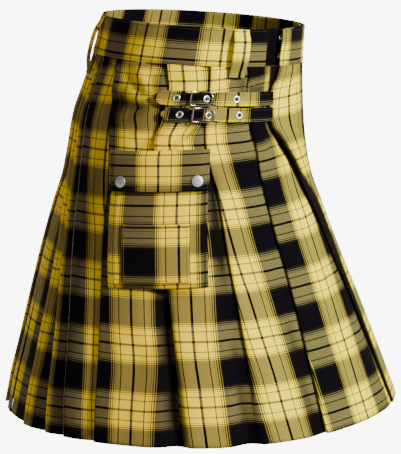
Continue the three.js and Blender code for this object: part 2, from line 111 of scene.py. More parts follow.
# how far the opening pleats have opened, by drop
OPEN = [(0, 0), (270, 0), (380, 0.45), (470, 0.8), (554, 1)]
# an opened pleat's valley: run from the pleat's edge, depth, share of the valley's full depth
VALLEY = [
    (-34, 0, 0), (-12, 0.6, 0), (-5, 2.2, 0), (-0.5, 0, 0.45), (4, 0, 0.72), (9, 0, 0.9), (15, 0, 1),
    (23, 0, 0.94),
]
# distance between the layers of a fold, by drop
LAYER = [(0, 2.1), (134, 2.2), (300, 2.6), (554, 3.8)]
RISE = [0.35, 0.02, 0.02, 0.10, 0.18, 0.22, 0.16, 0.10]

# the check: one repeat round the body and one repeat down, and where the hem cuts it
WARP = 112.0
WEFT = 89.0
HEM_PHASE = 12.75
APRON_CHECK = 141       # run from the apron's edge to its middle for which its check is laid
APRON_EASE = 135        # run over which the check eases to straight
BAND_CHECK = 114.0      # angle where a black stripe of the waistband has its middle
BAND_FAR = 243.0        # angle from which its check runs closer
BAND_CLOSER = 1.17
BAND_LAP_SHADE = (46, 60.5)   # band painted black under the apron's band end: painted shade of the gap there
END_CHECK = 36.0        # as BAND_CHECK, on the apron's band end
BAND_FROM = 67          # angle where the waistband comes out from under the apron's band end

# straps and their buckles: angles of tip, root, buckle and eyelets; place in the check
STRAPS = [
    dict(tag="upper", drop=95.5, tip=122.7, root=58.6, buckle=99.2, holes=[111.0, 96.6, 80.9],
         phase=53, row=-16),
    dict(tag="lower", drop=117, tip=117.2, root=58.6, buckle=97.2, holes=[108.0, 94.6, 78.7],
         phase=78, row=-13),
]
# belt loops: side, angle, drops of the strip's bends, share of LOOP_OUT, length of cloth
SIDE_DROPS = [1, 5, 9, 14, 23, 32, 41, 49, 55, 60, 66]
BACK_DROPS = [1, 6, 12, 20, 30, 41, 52, 62, 69, 74, 79]
LOOPS = [
    ("right", 82, SIDE_DROPS, 1.22, 0.076), ("back", 180, BACK_DROPS, 1.1, 0.092),
    ("left", 278, SIDE_DROPS, 1.22, 0.076),
]
# how far the strip stands off the band at each bend
LOOP_OUT = (0, 0.2, 2.6, 5.6, 6.6, 6.8, 6.4, 4.8, 2.0, 0, 0)
LOOP_HALF = 11
LOOP_CHECK = (52.6, 62)  # place of its middle and of the waist's edge in the check
# pocket: drop of its top and foot at its back and front edge; angle of those edges at top and foot
POCKET = dict(top=(172, 163), foot=(350, 344), back=(140.2, 132.6), front=(93.3, 95.6))
POCKET_OUT = 5.2        # how far the pocket stands off
POCKET_WIDE = 150       # its cloth across
POCKET_TALL = 178       # and down
# its pieces, as shares of its width and height: from and to across, from and to down
PATCH_BOX = (0.178, 0.824, 0.53, 0.955)
FLAP_BOX = (-0.02, 1.015, -0.012, 0.285)
BODY_BOX = (0, 1, 0.06, 1)

# creases of the skirt: angle and drop of both ends, width, depth
CREASES = [
    (122, 104, 146, 60, 6, -3.2), (123, 104, 138, 58, 6, 2.6), (121, 106, 131, 56, 5, -3.0),
    (121, 110, 150, 88, 7, 2.6), (121, 112, 148, 106, 6, -2.8), (121, 114, 143, 130, 7, 2.6),
    (116, 128, 132, 172, 7, -3.0), (108, 130, 122, 168, 7, 2.8), (103, 128, 112, 158, 4, -3.2),
    (72, 58, 66, 88, 7, -3.8), (80, 60, 86, 88, 6, -3.0), (90, 60, 100, 88, 7, 2.4),
    (66, 84, 84, 78, 5, -3.4), (64, 70, 76, 58, 5, 2.6), (128, 108, 136, 122, 4, -2.4),
    (64, 60, 60, 92, 6, 1.6), (156, 70, 150, 200, 10, 1.2), (88, 300, 80, 500, 16, 2.0),
    (76, 330, 72, 552, 18, -2.2), (120, 390, 124, 552, 16, -1.8), (50, 210, 46, 420, 14, 1.8),
    (40, 300, 38, 552, 16, -1.8), (58, 240, 55, 480, 14, -1.3),
    (96.6, 54, 94.4, 158, 2.6, -3.4), (98.8, 56, 96.8, 158, 4, 1.6), (73.5, 56, 69.0, 170, 2.6, -3.6),
    (153, 56, 141.5, 230, 2.6, -1.6), (110, 60, 118, 92, 5, -2.0), (100, 62, 108, 92, 5, 1.8),
    (113.2, 320, 109.2, 560, 11, -6.0), (90.5, 330, 87.5, 560, 9, -3.0), (67.5, 240, 66.5, 560, 8, -3.0),
    (122, 104, 139, 84, 4, -2.2), (121, 116, 134, 150, 5, -2.0), (131, 60, 127, 84, 6, 1.6),
]
# shaded hollows beside folds and under edges: angle and drop of both ends, width, darkness
HOLLOWS = [
    (113.2, 318, 108.4, 570, 12, 0.9), (118, 400, 113, 570, 14, 0.35), (120, 116, 147, 102, 24, 0.62),
    (92.4, 176, 89.4, 345, 8.5, 1.0), (73, 86, 64, 82, 6, 0.75), (78.5, 58, 76.5, 92, 4.5, 0.6),
    (133, 354, 97, 349, 6, 0.65), (142.4, 186, 134.8, 346, 5, 0.8), (141, 60, 139, 230, 9, 0.35),
    (150, 120, 146, 540, 10, 0.35), (98, 130, 105, 150, 3.5, 0.6), (68, 380, 67, 570, 8, 0.5),
    (89, 400, 87.5, 570, 7, 0.5), (126, 62, 124, 96, 8, 0.35), (60, 128, 53, 190, 5, 0.5),
]
# how far the shade beside the apron reaches on the side panel, in degrees, by drop
DARK_GAP = [
    (52, 7.5), (64, 6.2), (74, 4.5), (86, 2.0), (100, 1.0), (130, 1.0), (170, 3.5), (230, 2.5), (330, 1.5),
    (554, 0.6),
]
# how far the shade reaches on the apron, in mm from its free edge, by drop
DARK_EDGE = [
    (52, -9), (130, 0), (150, 9), (200, 13), (214, 17), (230, 28), (255, 32), (300, 30), (335, 25), (380, 18),
    (554, 9),
]


# Curves and points of the filled-out figure
def look(table, s, col=1):
    """A column of a table at a drop, on a smooth curve that never swings past its points."""
    n = len(table)
    if s <= table[0][0]:
        return float(table[0][col])
    if s >= table[n - 1][0]:
        return float(table[n - 1][col])
    i = 0
    while table[i + 1][0] < s:
        i += 1
    x0, x1 = table[i][0], table[i + 1][0]
    y0, y1 = table[i][col], table[i + 1][col]
    d = (y1 - y0) / (x1 - x0)
    dl = (y0 - table[i - 1][col]) / (x0 - table[i - 1][0]) if i > 0 else d
    dr = (table[i + 2][col] - y1) / (table[i + 2][0] - x1) if i < n - 2 else d
    m0 = 0 if dl * d <= 0 else 2 * dl * d / (dl + d)
    m1 = 0 if dr * d <= 0 else 2 * dr * d / (dr + d)
    h = x1 - x0
    t = (s - x0) / h
    a = 2 * t**3 - 3 * t**2 + 1
    return y0 * a + m0 * h * (t**3 - 2 * t**2 + t) + y1 * (1 - a) + m1 * h * (t**3 - t**2)


def smooth(t):
    c = np.clip(t, 0.0, 1.0)
    return c * c * (3 - 2 * c)


def girth(s):
    """Half breadth, half depth and shift to the back at a drop."""
    front = look(BODY, s, 2)
    back = look(BODY, s, 3)
    return look(BODY, s, 1), (front + back) / 2, (back - front) / 2


def per_degree(phi, s):
    """Length of cloth to a degree."""
    a, b, _ = girth(s)
    p = math.radians(phi)
    return math.hypot(a * math.cos(p), b * math.sin(p)) * math.pi / 180


def on(phi, s, off=0.0):
    """Points of the figure, in mm: angle from the front to the wearer's right, drop, offset out."""
    phi = np.asarray(phi, float)
    a, b, shift = girth(s)
    p = np.radians(phi)
    nx = -np.sin(p) / a
    ny = -np.cos(p) / b
    n = np.hypot(nx, ny)
    c = np.cos(p)
    z = BAND_H / 2 - s + (TILT_TOP + (TILT_HEM - TILT_TOP) * s / HEM) * c + SAG * c * c * (s / HEM) ** 2
    return np.stack([-a * np.sin(p) + off * nx / n, shift - b * np.cos(p) + off * ny / n, z], -1)


class Spot:
    """A local frame on the figure: u towards the front, v up, w out; slope tilts u outwards."""

    def __init__(self, phi, s, off=0.0, slope=0.0, mirror=False):
        self.o = on(phi, s, off)
        u = on(phi - 0.5, s) - on(phi + 0.5, s)
        v = on(phi, s - 2) - on(phi, s + 2)
        u /= np.linalg.norm(u)
        w = np.cross(u, v)
        if w @ (on(phi, s, 5) - on(phi, s)) < 0:
            w = -w
        w /= np.linalg.norm(w)
        v = v - w * (v @ w)
        v /= np.linalg.norm(v)
        if slope:
            u = u + w * slope
            u /= np.linalg.norm(u)
            turned_w = np.cross(u, v)
            w = turned_w * np.sign(turned_w @ w) / np.linalg.norm(turned_w)
        self.u, self.v, self.w = u, v, w
        if mirror:
            self.o, self.u, self.v, self.w = self.o * MIRROR, u * MIRROR, v * MIRROR, w * MIRROR

    def at(self, x, y, z):
        return self.o + self.u * x + self.v * y + self.w * z


def run_along(pts):
    """Length from the first point to each."""
    return np.concatenate([[0], np.cumsum(np.linalg.norm(np.diff(pts, axis=0), axis=1))])


def slant(phi, s_list):
    """Length of cloth from the hem up to each drop, at each row's own angles."""
    rows = []
    up = np.zeros(len(phi[0]))
    for i in range(len(s_list) - 1, -1, -1):
        if i < len(s_list) - 1:
            step = on(phi[i], s_list[i]) - on(phi[i], s_list[i + 1])
            up = up + np.linalg.norm(step, axis=-1)
        rows.append(up)
    return rows[::-1]


# Making meshes
def new_object(name, verts, faces, material, uvs=None, shade=None):
    """An object from points in mm; uvs and shade are kept as UV layers for the cloth's finish."""
    name = name.replace(" ", "_") + ("_cloth" if uvs is not None else "")
    mesh = bpy.data.meshes.new(name)
    mesh.from_pydata([tuple(v) for v in np.asarray(verts, float) * 0.001], [], faces)
    mesh.materials.append(material)
    if uvs is not None:
        layer = mesh.uv_layers.new(name="cloth")
        layer.data.foreach_set("uv", np.asarray(uvs, np.float32).ravel())
    if shade is not None:
        dark = np.asarray(shade, np.float32).ravel()[np.asarray(faces).ravel()]
        layer = mesh.uv_layers.new(name="hollow")
        layer.data.foreach_set("uv", np.stack([dark, dark], -1).ravel())
    mesh.polygons.foreach_set("use_smooth", [True] * len(mesh.polygons))
    mesh.update()
    obj = bpy.data.objects.new(name, mesh)
    bpy.context.scene.collection.objects.link(obj)
    return obj


def cloth(name, rows, u, v, material, thick=CLOTH_T, shift=None, shade=None):
    """A sheet through rows of points, with its place in the check at each corner of each face.
"""
    pts = np.asarray(rows)
    ni, nj = pts.shape[:2]
    i, j = np.meshgrid(np.arange(ni - 1), np.arange(nj - 1), indexing="ij")
    a = (i * nj + j).ravel()
    faces = np.stack([a, a + 1, a + nj + 1, a + nj], -1)
    left, right = u
    vv = np.asarray(v)
    uv = np.stack([
        np.stack([left[:-1], vv[:-1, :-1]], -1), np.stack([right[:-1], vv[:-1, 1:]], -1),
        np.stack([right[1:], vv[1:, 1:]], -1), np.stack([left[1:], vv[1:, :-1]], -1)], 2)
    if shift is not None:
        uv[..., 1] += shift[None, :, None]
    uv = uv.reshape(-1, 4, 2)
    mid = pts.reshape(-1, 3)
    c = mid[faces].mean(1)
    n = np.cross(mid[faces[:, 2]] - mid[faces[:, 0]], mid[faces[:, 3]] - mid[faces[:, 1]])
    if (n[:, :2] * c[:, :2]).sum() < 0:
        faces = faces[:, ::-1]
        uv = uv[:, ::-1]
    obj = new_object(name, mid, faces.tolist(), material, uv, shade)
    wall = obj.modifiers.new("wall", "SOLIDIFY")
    wall.thickness = thick * 0.001
    wall.offset = 0
    wall.use_quality_normals = True
    return obj


def finished(obj):
    """The object with its modifiers made real."""
    dg = bpy.context.evaluated_depsgraph_get()
    mesh = bpy.data.meshes.new_from_object(obj.evaluated_get(dg))
    obj.modifiers.clear()
    obj.data = mesh
    return obj


def even(u):
    u = np.asarray(u)
    return u[:, :-1], u[:, 1:]


def mirror_rows(rows):
    return [r * MIRROR for r in rows]


# Finishes
# a warm yellow for painted shade towards the back and a lemon yellow for the lit front; random patches mix
# them too
YELLOW_WARM_SHADED = (0.96, 0.64, 0.002, 1)
YELLOW_LEMON_LIT = (0.97, 0.79, 0.002, 1)
BLACK = (0.0024, 0.0020, 0.0040, 1)
NO_DUST = (0, 0, 0, 1)
DUST = (0.0, 0.012, 0.036, 1)
IN_SHADE = (0.004, 0.003, 0.003, 1)
# half width of the black, width over which it shades out, lines as place and half width, and the
# width of the stripes it shades out in
WARP_BAND = dict(repeat=WARP, black=16.0, fade=19.0, lines=[(37.6, 0.85), (55.6, 1.6)], fine=3.1)
WEFT_BAND = dict(repeat=WEFT, black=13.4, fade=13.6, lines=[(30.6, 0.7), (44.2, 1.3)], fine=2.6)
TWILL = 1.6             # distance between twill ribs


class Net:
    """Short words for building a node tree."""

    def __init__(self, tree):
        self.tree = tree

    def node(self, kind, **values):
        n = self.tree.nodes.new(kind)
        for k, v in values.items():
            setattr(n, k, v)
        return n

    def put(self, socket, value):
        if isinstance(value, bpy.types.NodeSocket):
            self.tree.links.new(value, socket)
        elif value is not None:
            socket.default_value = value

    def fill(self, node, sockets):
        for key, value in sockets.items():
            self.put(node.inputs[key], value)
        return node

    def make(self, kind, sockets, **values):
        return self.fill(self.node(kind, **values), sockets)

    def math(self, op, a, b=None, c=None, clamp=False):
        return self.make("ShaderNodeMath", {0: a, 1: b, 2: c}, operation=op, use_clamp=clamp).outputs[0]

    def ramp(self, x, low, high):
        return self.make("ShaderNodeMapRange", {0: x, 1: low, 2: high, 3: 0.0, 4: 1.0}, clamp=True).outputs[0]

    def mix(self, f, a, b, how="MIX"):
        return self.make("ShaderNodeMix", {0: f, 6: a, 7: b}, data_type="RGBA", blend_type=how).outputs[2]

    def noise(self, coord, scale, detail=2.0):
        return self.make("ShaderNodeTexNoise", {"Vector": coord, "Scale": scale, "Detail": detail}).outputs[0]

    def bump(self, height, strength, distance):
        sockets = {"Strength": strength, "Distance": distance, "Height": height}
        return self.make("ShaderNodeBump", sockets).outputs[0]

    def split(self, vector):
        return self.make("ShaderNodeSeparateXYZ", {0: vector}).outputs

    def here(self):
        return self.node("ShaderNodeTexCoord").outputs["Object"]


def new_material(name):
    """A material, its net and its one shader."""
    m = bpy.data.materials.new(name)
    m.use_nodes = True
    m.node_tree.nodes.clear()
    net = Net(m.node_tree)
    out = net.node("ShaderNodeOutputMaterial")
    bsdf = net.node("ShaderNodeBsdfPrincipled")
    net.tree.links.new(bsdf.outputs[0], out.inputs[0])
    return m, net, bsdf


def thread_band(net, coord, repeat, black, fade, lines, fine):
    """How black the thread is, 0 to 1, from its place in the repeat.

    coord is a whole number in the middle of each black band."""
    x = net.math("FRACT", net.math("ADD", coord, 0.5))
    a = net.math("MULTIPLY", net.math("ABSOLUTE", net.math("SUBTRACT", x, 0.5)), repeat)
    share = net.ramp(a, black + fade, black - 1.0)
    stripe = net.math("PINGPONG", net.math("DIVIDE", a, fine), 0.5)
    stripe = net.math("MULTIPLY_ADD", stripe, 1.7, 0.12)
    share = net.math("MULTIPLY", share, 1.4)
    value = net.math("MULTIPLY_ADD", net.math("SUBTRACT", share, stripe), 6.0, 0.5, clamp=True)
    for at, half in lines:
        d = net.math("ABSOLUTE", net.math("SUBTRACT", a, at))
        value = net.math("MAXIMUM", value, net.ramp(d, half + 0.25, half - 0.25))
    return value


def check_cloth():
    m, net, bsdf = new_material("yellow and black check twill")
    u, v, _ = net.split(net.node("ShaderNodeUVMap", uv_map="cloth").outputs[0])
    warp = thread_band(net, u, **WARP_BAND)
    weft = thread_band(net, v, **WEFT_BAND)

    # the twill's diagonal, and which thread lies on top
    diagonal = net.math("ADD", net.math("MULTIPLY", u, WARP), net.math("MULTIPLY", v, WEFT))
    rib = net.math("PINGPONG", net.math("DIVIDE", diagonal, TWILL), 0.5)
    rib = net.math("MULTIPLY", rib, 2.0)
    share = net.math("MULTIPLY_ADD", warp, -0.63, 0.75)
    pick = net.math("MULTIPLY_ADD", net.math("SUBTRACT", rib, 0.5), 0.36, share, clamp=True)

    # yellow is painted warmer towards the back, as painted shade on that side, with random patches of warmer
    # tone; where black and yellow cross the cloth looks greyer
    here = net.here()
    lit_side_and_tone = net.math("MULTIPLY", net.noise(here, 14.0, 3.0), 0.3)
    lit_side_and_tone = net.math("SUBTRACT", lit_side_and_tone, net.split(here)[1])
    yellow = net.mix(net.ramp(lit_side_and_tone, 0.06, 0.24), YELLOW_WARM_SHADED, YELLOW_LEMON_LIT)
    threads = net.mix(pick, net.mix(warp, yellow, BLACK), net.mix(weft, yellow, BLACK))
    crossed = net.math("ABSOLUTE", net.math("SUBTRACT", warp, weft))
    dusty = net.mix(1.0, threads, net.mix(crossed, NO_DUST, DUST), "ADD")
    hollow = net.split(net.node("ShaderNodeUVMap", uv_map="hollow").outputs[0])[0]

    # ribs, nap and soft unevenness
    nap = net.math("MULTIPLY", net.noise(here, 420.0), 0.3)
    height = net.math("ADD", net.math("MULTIPLY", rib, 0.35), nap)
    height = net.math("MULTIPLY_ADD", net.noise(here, 26.0, 3.0), 2.6, height)
    net.fill(bsdf, {
        "Base Color": net.mix(hollow, dusty, IN_SHADE), "Roughness": 0.85, "Specular IOR Level": 0.02,
        "Sheen Weight": 0.02, "Sheen Roughness": 0.5, "Sheen Tint": (1.0, 0.85, 0.5, 1),
        "Normal": net.bump(height, 0.6, 0.0006),
    })
    return m


def plain_finish(name, colour, rough, metal, bumpy=0.0):
    m, net, bsdf = new_material(name)
    net.fill(bsdf, {"Base Color": (*colour, 1), "Roughness": rough, "Metallic": metal})
    if bumpy:
        net.put(bsdf.inputs["Normal"], net.bump(net.noise(net.here(), 600.0), bumpy, 0.0003))
    return m


CHECK = check_cloth()
PLATED = plain_finish("bright plated wire", (0.40, 0.40, 0.42), 0.16, 1.0)
RING = plain_finish("bright eyelets", (0.86, 0.85, 0.84), 0.3, 1.0)
PEWTER = plain_finish("satin pewter", (0.54, 0.52, 0.53), 0.5, 1.0, 0.4)
# black thread, also used for the painted shade disc inside each eyelet
BLACK_THREAD_AND_HOLE_SHADE = plain_finish("black thread and painted hole shade", (0.012, 0.011, 0.014), 0.8, 0.0)
LIGHT_THREAD = plain_finish("pale thread", (0.62, 0.56, 0.38), 0.7, 0.0)


def hang(obj, node, flat, **more):
    """Settles a finished piece of cloth that stands for a node; its flat size is not used."""
    settle(finished(obj), "kilt_cloth", node)


def settle(obj, slot, *nodes):
    """Attaches a finished object to the root and hides the solids it stands for; slot is not used."""
    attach(obj, "root")
    if nodes:
        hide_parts(*nodes)
    return obj


# The pleated sides
def under_deep(s):
    """Offset of the under apron."""
    return UNDER + UNDER_EASE * float(smooth((s - 100) / 300))


def side_path(s):
    """Angle and offset of each corner of one side's section, from the front to the back."""
    g = look(LAYER, s)
    edge = look(APRON_EDGE, s)
    deep = under_deep(s)
    path = [(edge - 9, deep), (edge - 4, deep), (edge + 0.5, deep + 0.8)]
    path += [(edge + 4.5, deep * 0.3), (edge + 8.5, 0)]
    for n, (soft, lays, ats, _) in enumerate(PLEATS):
        e = look(ats, s)
        lay = look(lays, s)
        u = 1 / per_degree(e, s)
        tip = e - (g / 2 + CLOTH_T / 2) * u
        last = n == len(PLEATS) - 1
        after = 180 if last else look(PLEATS[n + 1][2], s)
        after_lay = 0 if last else look(PLEATS[n + 1][1], s)
        room = (after - e) / u - after_lay - 6
        rise = 0 if last else max(3, min(26, room))
        fold = [
            [tip - lay * u, 0], [tip, 0], [tip + g / 2 * u, -g / 2], [tip, -g],
            [tip - lay * u, -g], [tip - (lay + g / 2) * u, -1.5 * g], [tip - lay * u, -2 * g],
            [e + 1.0 * u, -2 * g],
        ]
        w = soft * look(OPEN, s)
        if w > 0:
            full = 10 + 4 * float(smooth((s - 380) / 170))
            for q, (run, deep, part) in zip(fold, VALLEY):
                q[0] += (e + run * u - q[0]) * w
                q[1] += (-deep - part * full - q[1]) * w
        path += [tuple(q) for q in fold]
        if last:
            path.append((180 - 0.3 * u, -2 * g))
        else:
            end = e + (rise + 14 * w) * u
            path.append((fold[7][0] + (end - fold[7][0]) * 0.5, fold[7][1] * 0.42))
            path.append((end, 0))
            stop = after - (after_lay + 3) * u
            path.append(((end + stop) / 2 if room - rise > 14 else end + 0.35 * (stop - end), 0))
    return path


def along_lines(table, phi, s):
    """What the lines of a table add up to at each angle of one row."""
    total = np.zeros_like(phi)
    for p0, s0, p1, s1, wide, deep in table:
        ax = (phi - p0) * per_degree(p0, s)
        dx = (p1 - p0) * per_degree((p0 + p1) / 2, s)
        dy = s1 - s0
        t = (ax * dx + (s - s0) * dy) / (dx * dx + dy * dy)
        gap = np.abs(ax * dy - (s - s0) * dx) / math.hypot(dx, dy)
        total += deep * np.exp(-((gap / wide) ** 2)) * smooth(t / 0.25) * smooth((1.15 - t) / 0.4)
    return total


def drape(phi, s, seed):
    """Slow unevenness of the cloth, deeper near the hem."""
    k = 0.25 + 0.75 * float(smooth((s - 150) / 380))
    p = np.radians(phi)
    a = np.sin(p * 9 + s / 61 + seed) * 0.8 + np.sin(p * 17 - s / 43 + 2.1 * seed) * 0.45
    b = np.sin(p * 31 + s / 29 + 0.7 * seed) * 0.18 + np.sin(p * 5 - s / 97 + 1.3 * seed) * 0.8
    return (a + b) * k


HEAD = 5                # corners of the section in front of the first pleat
BLOCK = 11              # corners to a pleat
EDGES = {}              # angle and offset of the pale seam, by side and row
S_TOP = BAND_H + SEWN
S_ROWS = [S_TOP + (HEM - S_TOP) * k / ROWS for k in range(ROWS + 1)]


def dense(path, counts):
    """The path with each stretch cut into its number of steps."""
    out = []
    for (p0, o0), (p1, o1), n in zip(path[:-1], path[1:], counts):
        for k in range(n):
            t = k / n
            out.append((p0 + (p1 - p0) * t, o0 + (o1 - o0) * t))
    out.append(path[-1])
    return np.array(out)


def side_counts():
    """Steps to each stretch of the section, from its longest length at four drops."""
    drops = (150, 300, 420, HEM)
    paths = [side_path(s) for s in drops]
    counts = []
    for k in range(len(paths[0]) - 1):
        longest = 0
        for path, s in zip(paths, drops):
            q = on(np.array([path[k][0], path[k + 1][0]]), s, np.array([path[k][1], path[k + 1][1]]))
            longest = max(longest, np.linalg.norm(q[0] - q[1]))
        counts.append(max(1, int(round(longest / 5.5))))
    for n in range(len(PLEATS)):
        first = HEAD + BLOCK * n
        for k in (1, 2, 4, 5):
            counts[first + k] = 3
    return counts


def pleated_side(name, mirror, seed):
    """One half of the skirt; the check starts anew at each pleat, as folds hide what lies between."""
    counts = side_counts()
    starts = np.concatenate([[0], np.cumsum(counts)])
    panel_of = np.zeros(starts[-1], int)
    tips = []
    for n in range(len(PLEATS)):
        turn = starts[HEAD + BLOCK * n + 5]
        panel_of[turn:] = n + 1
        tips.append(starts[HEAD + BLOCK * n + 2])
    fixed = np.zeros(starts[-1] + 1)
    for n in range(len(PLEATS)):
        a = starts[HEAD + BLOCK * n + 1]
        b = starts[HEAD + BLOCK * n + 7]
        fixed[max(0, a - 2):b + 1] = 1
    fixed[0] = fixed[-1] = 1
    rows, left, right, phis = [], [], [], []
    for s in S_ROWS:
        path = dense(side_path(s), counts)
        phi, off = path[:, 0], path[:, 1].copy()
        for _ in range(10):
            mean = (np.roll(off, 1) + np.roll(off, -1)) / 2
            off = np.where(fixed > 0, off, off + 0.5 * (mean - off))
        turn_round(path, phi, off, counts, starts, s)
        off = off + along_lines(CREASES, phi, s) * smooth((s - 53) / 14)
        off = off + drape(phi, s, seed) * smooth((s - 60) / 60) * (0.35 if s < 140 else 0.6)
        for _ in range(3 if look(OPEN, s) > 0.3 else 0):
            for n in (1, 2):
                a, b = starts[HEAD + BLOCK * n], starts[HEAD + BLOCK * n + 8]
                phi[a + 1:b] = (phi[a:b - 1] + 2 * phi[a + 1:b] + phi[a + 2:b + 1]) / 4
                off[a + 1:b] = (off[a:b - 1] + 2 * off[a + 1:b] + off[a + 2:b + 1]) / 4
        pts = on(phi, s, off)
        rows.append(pts)
        phis.append(phi)
        tip = tips[LIGHT_PLEAT]
        EDGES.setdefault(mirror, []).append(((phi[tip] + phi[tip - 2]) / 2, (off[tip] + off[tip - 2]) / 2))
        run = run_along(pts)
        at = np.array([run[t] for t in tips] + [run[-1]])
        zero = np.array([look(p[3], s) for p in PLEATS] + [LAST_PHASE])
        left.append((zero[panel_of] + at[panel_of] - run[:-1]) / WARP)
        right.append((zero[panel_of] + at[panel_of] - run[1:]) / WARP)
    v = (np.array(slant(phis, S_ROWS)) - HEM_PHASE) / WEFT
    rise = np.array(RISE)[panel_of]
    if mirror:
        rows = mirror_rows(rows)
    shade = []
    for phi, s in zip(phis, S_ROWS):
        gap = 1 - smooth((phi - look(APRON_EDGE, s) - look(DARK_GAP, s)) / 1.5 + 0.5)
        shade.append(np.clip(along_lines(HOLLOWS, phi, s) + gap, 0, 1))
    return cloth(name, rows, (np.array(left), np.array(right)), v, CHECK, shift=rise, shade=shade)


def turn_round(path, phi, off, counts, starts, s):
    """Rounds the turn at each pleat's edge and at its inner fold."""
    g = look(LAYER, s)
    for n, (soft, _, ats, _) in enumerate(PLEATS):
        if soft and look(OPEN, s) > 0.02:
            continue
        u = 1 / per_degree(look(ats, s), s)
        for first, side, top in ((1, 1, 0.0), (4, -1, -g)):
            a = starts[HEAD + BLOCK * n + first]
            b = starts[HEAD + BLOCK * n + first + 2]
            base = path[a, 0]
            for k in range(a, b + 1):
                w = math.pi * (k - a) / (b - a)
                phi[k] = base + side * g / 2 * math.sin(w) * u
                off[k] = top - g / 2 + g / 2 * math.cos(w)


for (side, mirror), seed in zip(SIDES, (0.4, 2.9)):
    half = pleated_side(f"pleated skirt {side}", mirror, seed)
    hang(half, f"skirt_{side}", (1.08, 0.52), area=0.44)


# Aprons
def panel(name, low, high, cols, s_rows, offset, phase, rise=0.0, dark=None):
    """A panel between two angles that change with the drop; low is its -X side.

    phase is the check's place at low in mm, rise is in repeats; dark is the shade's table."""
    rows, us, phis, shade = [], [], [], []
    for s in s_rows:
        phi = np.linspace(low(s), high(s), cols + 1)
        pts = on(phi, s, offset(phi, s))
        rows.append(pts)
        phis.append(phi)
        run = run_along(pts)
        us.append((phase + run - (run[cols // 2] - APRON_CHECK) * smooth(run / APRON_EASE)) / WARP)
        shade.append(1 - smooth((run - look(dark, s)) / 13 + 0.5) ** 2 if dark else 0 * run)
    v = (np.array(slant(phis, s_rows)) - HEM_PHASE) / WEFT + rise
    return cloth(name, rows, even(us), v, CHECK, shade=shade)


def apron_offset(phi, s):
    e = look(APRON_EDGE, s)
    near = smooth((np.abs(phi) - e + 8) / 8)
    wave = -0.25 * (1 + math.sin(s / 38)) * near
    low = 0.6 * smooth((s - 200) / 200)
    return wave + low * (np.sin(np.radians(phi) * 7 + s / 70) - 1) * (1 - near)


S_APRON = S_ROWS[::2]
if S_APRON[-1] != HEM:
    S_APRON.append(HEM)
front = panel("front apron", lambda s: look(APRON_EDGE, s), lambda s: -look(APRON_EDGE, s), 64,
              S_APRON, apron_offset, phase=20, rise=0.48, dark=DARK_EDGE)
hang(front, "apron_front", (0.30, 0.51), area=0.13)
under = panel("under apron", lambda s: look(APRON_EDGE, s) - 9.2, lambda s: -look(APRON_EDGE, s) + 12, 36,
              S_APRON, lambda phi, s: under_deep(s) + 0 * phi, phase=40)
hang(under, "under_apron", (0.24, 0.51), area=0.10)


# Waistband
def band_rows(angles, offset):
    long = angles[-1] > BAND_CHECK
    a = np.array([per_degree(p, 28) for p in angles])
    run = np.concatenate([[0], np.cumsum((a[1:] + a[:-1]) / 2 * np.diff(angles))])
    run = run - np.interp(BAND_CHECK if long else END_CHECK, angles, run)
    if long:
        far = np.interp(BAND_FAR, angles, run)
        run = np.where(run > far, far + (run - far) * BAND_CLOSER, run)
    drops = np.linspace(0, BAND_H, 15)
    rows = [on(angles, s, offset(angles, s)) for s in drops]
    us = np.tile(-run / WARP, (len(drops), 1))
    vs = np.tile(-drops[:, None] / WEFT, (1, len(angles)))
    if long:
        # under the apron's band end the check is set to black: painted shade
        lap_shade = (angles > BAND_LAP_SHADE[0]) & (angles < BAND_LAP_SHADE[1])
        us[:, lap_shade] = 0.0
        vs[:, lap_shade] = 0.0
    return rows, even(us), vs


# how the band dips inwards beside the opening: angle, offset
BAND_DIP = [
    (-45, UNDER), (44, UNDER), (48, UNDER - 1.2), (53.5, UNDER - 6.5), (58, UNDER - 8.5), (61.2, UNDER - 5),
    (63.6, -3.4), (65.4, -0.5), (BAND_FROM, 0), (304, 0),
]


def band_offset(angles, s):
    base = np.interp(angles, [k[0] for k in BAND_DIP], [k[1] for k in BAND_DIP])
    ripple = 0.35 * np.sin(np.radians(angles) * 11 + s / 17) + 0.3 * np.sin(np.radians(angles) * 23 - s / 11)
    ease = smooth((angles - BAND_FROM) / 20) * smooth((303 - angles) / 10)
    return base + ripple * ease


def end_offset(angles, s):
    """Offset of the apron's band end, which waves a little at its free end."""
    return 0.7 * np.sin(s / 9) * smooth((angles - 43) / 6)


band_angles = np.concatenate([np.linspace(-44, 44, 60), np.linspace(45, 67, 23), np.linspace(68, 303, 200)])
rows, u, v = band_rows(band_angles, band_offset)
hang(cloth("waistband", rows, u, v, CHECK, BAND_T), "waistband", (0.93, 0.057))
rows, u, v = band_rows(np.linspace(-56.8, 52.6, 96), end_offset)
hang(cloth("apron band", rows, u, v, CHECK, BAND_T), "apron_band", (0.27, 0.057))

# Belt loops
for side, at, bends, share, tall in LOOPS:
    fine = np.linspace(1, bends[-1], 47)
    lifts = np.interp(fine, bends, [3 + x * share for x in LOOP_OUT])
    for _ in range(4):
        lifts[1:-1] = (lifts[:-2] + 2 * lifts[1:-1] + lifts[2:]) / 4
    across = np.linspace(-LOOP_HALF, LOOP_HALF, 9)
    angles = at - across / per_degree(at, 30)
    rows = [on(angles, s, off + 0.15 * np.abs(across) / LOOP_HALF) for s, off in zip(fine, lifts)]
    us = np.tile((LOOP_CHECK[0] + across) / WARP, (len(fine), 1))
    vs = np.tile((LOOP_CHECK[1] - fine[:, None]) / WEFT, (1, len(across)))
    loop = cloth(f"belt loop {side}", rows, even(us), vs, CHECK, LOOP_T)
    hang(loop, f"belt_loop_{side}", (0.022, tall))

# Pockets
BASE = CLOTH_T + 2 * SEWN


